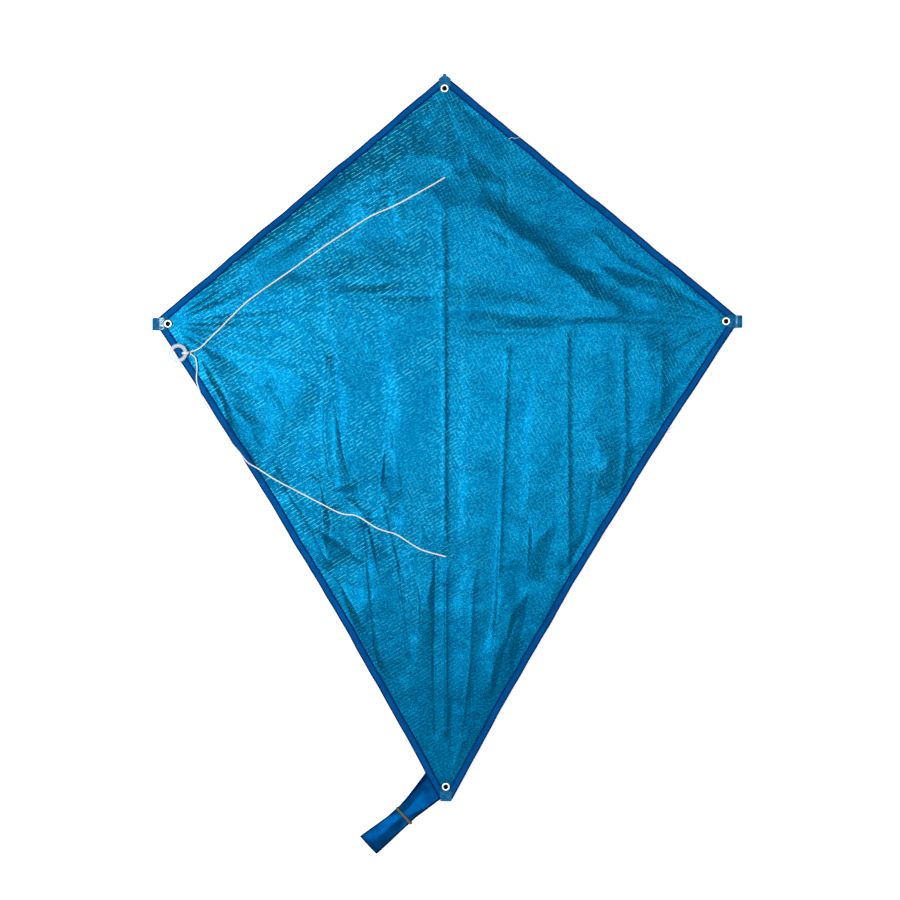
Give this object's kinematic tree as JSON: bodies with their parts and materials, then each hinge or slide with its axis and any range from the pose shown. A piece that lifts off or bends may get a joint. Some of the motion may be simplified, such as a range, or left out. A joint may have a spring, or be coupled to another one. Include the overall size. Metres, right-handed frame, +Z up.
{
  "type": "diamond kite",
  "caption": "Flat diamond kite lying face up, cloth sail on crossed rods, with a bridle, tow ring and folded ribbon tail.",
  "frame": {"origin": "centre of the flat foot of the clip at the rods' crossing, on the surface the kite lies on", "axes": "+Y along the spine to the nose, +X to the right tip, +Z up out of the face that carries the bridle"},
  "size_m": [0.5924, 0.7811, 0.017],
  "materials": {
    "sail_cloth": "glossy woven polyester",
    "edge_tape": "stitched satin tape",
    "tail_ribbon": "thin woven ribbon",
    "rod": "satin glass-fibre rod",
    "cap_vinyl": "soft vinyl",
    "clip_plastic": "moulded",
    "pocket_film": "clear vinyl film",
    "ring_plastic": "milky moulded plastic",
    "eyelet_metal": "bright plated",
    "bridle_cord": "twisted cord",
    "tack_thread": "sewing thread",
    "band_rubber": "natural rubber"
  },
  "bodies": {
    "root": {"sail": "sail_cloth", "edge_tape_upper_left": "edge_tape", "edge_tape_upper_right": "edge_tape", "edge_tape_lower_left": "edge_tape", "edge_tape_lower_right": "edge_tape", "spine": "rod", "spine_cap_nose": "cap_vinyl", "spine_cap_tail": "cap_vinyl", "spine_clip": "clip_plastic", "tow_knot_upper": "bridle_cord", "tow_knot_lower": "bridle_cord", "tail_tack": "tack_thread", "corner_pocket_nose": "pocket_film", "eyelet_nose": "eyelet_metal", "eyelet_washer_nose": "eyelet_metal", "corner_pocket_tail": "pocket_film", "eyelet_tail": "eyelet_metal", "eyelet_washer_tail": "eyelet_metal", "corner_pocket_left": "pocket_film", "eyelet_left": "eyelet_metal", "eyelet_washer_left": "eyelet_metal", "corner_pocket_right": "pocket_film", "eyelet_right": "eyelet_metal", "eyelet_washer_right": "eyelet_metal"},
    "bridle": {"bridle_upper_leg": "bridle_cord", "bridle_lower_leg": "bridle_cord"},
    "ring": {"ring_knot": "bridle_cord", "tow_ring": "ring_plastic"},
    "tail": {"tail_ribbon": "tail_ribbon", "rubber_band": "band_rubber"},
    "cross_spar": {"cross_spar": "rod", "spar_cap_left": "cap_vinyl", "spar_cap_right": "cap_vinyl", "spar_clip": "clip_plastic"}
  },
  "joints": [
    {"name": "bridle_swing", "type": "hinge", "parent": "root", "child": "bridle", "pos_m": [0, 0.144, 0.01537], "axis": [0, 1, 0.006], "range_deg": [0, 170]},
    {"name": "ring_swing", "type": "hinge", "parent": "bridle", "child": "ring", "pos_m": [-0.2557, -0.0297, 0.01141], "axis": [0, 1, 0], "range_deg": [0, 110]},
    {"name": "tail_swing", "type": "hinge", "parent": "root", "child": "tail", "pos_m": [-0.009, -0.461, 0], "axis": [0, 0, 1], "range_deg": [-45, 80]},
    {"name": "cross_spar_swivel", "type": "hinge", "parent": "root", "child": "cross_spar", "pos_m": [0, 0, 0.00305], "axis": [0, 0, 1], "range_deg": [-80, 80]}
  ]
}
